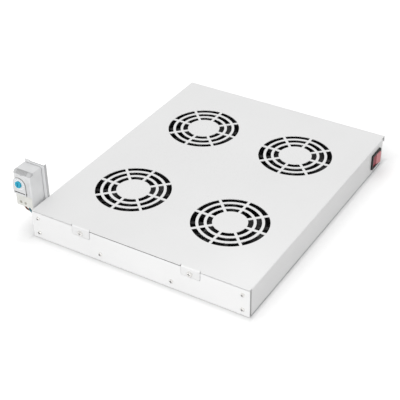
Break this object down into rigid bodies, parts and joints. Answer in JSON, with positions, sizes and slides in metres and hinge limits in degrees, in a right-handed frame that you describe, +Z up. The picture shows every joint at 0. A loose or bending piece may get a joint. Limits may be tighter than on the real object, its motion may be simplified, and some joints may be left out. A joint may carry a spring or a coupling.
{
  "type": "rack fan tray",
  "caption": "Flat sheet-metal fan tray for a rack, with axial fans under slotted ring grilles, a rocker switch in one side and a thermostat on the other.",
  "frame": {"origin": "middle of the underside of the bottom plate", "axes": "+Z up, +Y towards the rear, +X towards the side with the switch"},
  "size_m": [0.3896, 0.4324, 0.0986],
  "materials": {
    "screw_zinc": "bright zinc",
    "zinc_sheet": "zinc plated",
    "nut_zinc": "zinc plated",
    "bearing_steel": "polished",
    "fan_metal": "black painted casting",
    "lead_black": "insulation",
    "fan_plastic": "matt black",
    "shaft_steel": "ground",
    "stator": "varnished windings",
    "panel_paint": "satin powder coat",
    "brass": "tinned brass",
    "inlet_black": "fine grain",
    "switch_black": "fine grain",
    "rocker_red": "translucent red",
    "strip_white": "natural",
    "bracket_paint": "satin powder coat",
    "dial_blue": "moulded",
    "thermostat_grey": "fine grain",
    "terminal_cream": "fine grain",
    "wire_blue": "insulation",
    "wire_brown": "insulation",
    "shell_paint": "satin powder coat",
    "rubber_black": "matt"
  },
  "bodies": {
    "tray": {"base_screws": "screw_zinc", "base_tray": "zinc_sheet", "bracket_nuts": "nut_zinc", "bracket_screws": "screw_zinc", "clinch_nuts": "nut_zinc", "fan_1_bearings": "bearing_steel", "fan_1_frame": "fan_metal", "fan_1_lead": "lead_black", "fan_1_stator": "stator", "fan_2_bearings": "bearing_steel", "fan_2_frame": "fan_metal", "fan_2_lead": "lead_black", "fan_2_stator": "stator", "fan_3_bearings": "bearing_steel", "fan_3_frame": "fan_metal", "fan_3_lead": "lead_black", "fan_3_stator": "stator", "fan_4_bearings": "bearing_steel", "fan_4_frame": "fan_metal", "fan_4_lead": "lead_black", "fan_4_stator": "stator", "fan_nuts": "nut_zinc", "fan_studs": "nut_zinc", "front_panel": "panel_paint", "front_panel_screws": "screw_zinc", "inlet_lead": "lead_black", "inlet_pins": "brass", "inlet_screws": "screw_zinc", "inlet_socket": "inlet_black", "rail_screws": "screw_zinc", "rear_wall_screws": "screw_zinc", "switch_housing": "switch_black", "switch_lead": "lead_black", "switch_terminals": "brass", "tab_nuts": "nut_zinc", "tab_screws": "screw_zinc", "terminal_strip": "strip_white", "terminal_strip_screws": "brass", "thermostat_bracket": "bracket_paint", "thermostat_housing": "thermostat_grey", "thermostat_latch": "thermostat_grey", "thermostat_rail": "zinc_sheet", "thermostat_terminal_screws": "brass", "thermostat_terminals": "terminal_cream", "thermostat_wire_blue": "wire_blue", "thermostat_wire_brown": "wire_brown", "top_cover": "shell_paint", "wire_grommet": "rubber_black"},
    "impeller_1": {"fan_1_rotor": "fan_plastic", "fan_1_shaft": "shaft_steel"},
    "impeller_2": {"fan_2_rotor": "fan_plastic", "fan_2_shaft": "shaft_steel"},
    "impeller_3": {"fan_3_rotor": "fan_plastic", "fan_3_shaft": "shaft_steel"},
    "impeller_4": {"fan_4_rotor": "fan_plastic", "fan_4_shaft": "shaft_steel"},
    "rocker": {"switch_rocker": "rocker_red"},
    "dial": {"thermostat_dial": "dial_blue"}
  },
  "joints": [
    {"name": "fan_1_spin", "type": "hinge", "parent": "tray", "child": "impeller_1", "pos_m": [-0.08, -0.1005, 0.02], "axis": [0, 0, 1], "continuous": true},
    {"name": "fan_2_spin", "type": "hinge", "parent": "tray", "child": "impeller_2", "pos_m": [0.08, -0.1005, 0.02], "axis": [0, 0, 1], "continuous": true},
    {"name": "fan_3_spin", "type": "hinge", "parent": "tray", "child": "impeller_3", "pos_m": [-0.08, 0.0955, 0.02], "axis": [0, 0, 1], "continuous": true},
    {"name": "fan_4_spin", "type": "hinge", "parent": "tray", "child": "impeller_4", "pos_m": [0.08, 0.0955, 0.02], "axis": [0, 0, 1], "continuous": true},
    {"name": "rocker_tilt", "type": "hinge", "parent": "tray", "child": "rocker", "pos_m": [0.172, 0.18, 0.0225], "axis": [0, 0, 1], "range_deg": [0, 20]},
    {"name": "dial_turn", "type": "hinge", "parent": "tray", "child": "dial", "pos_m": [-0.19475, -0.212, 0.0795], "axis": [0, -1, 0], "range_deg": [-135, 135]}
  ]
}
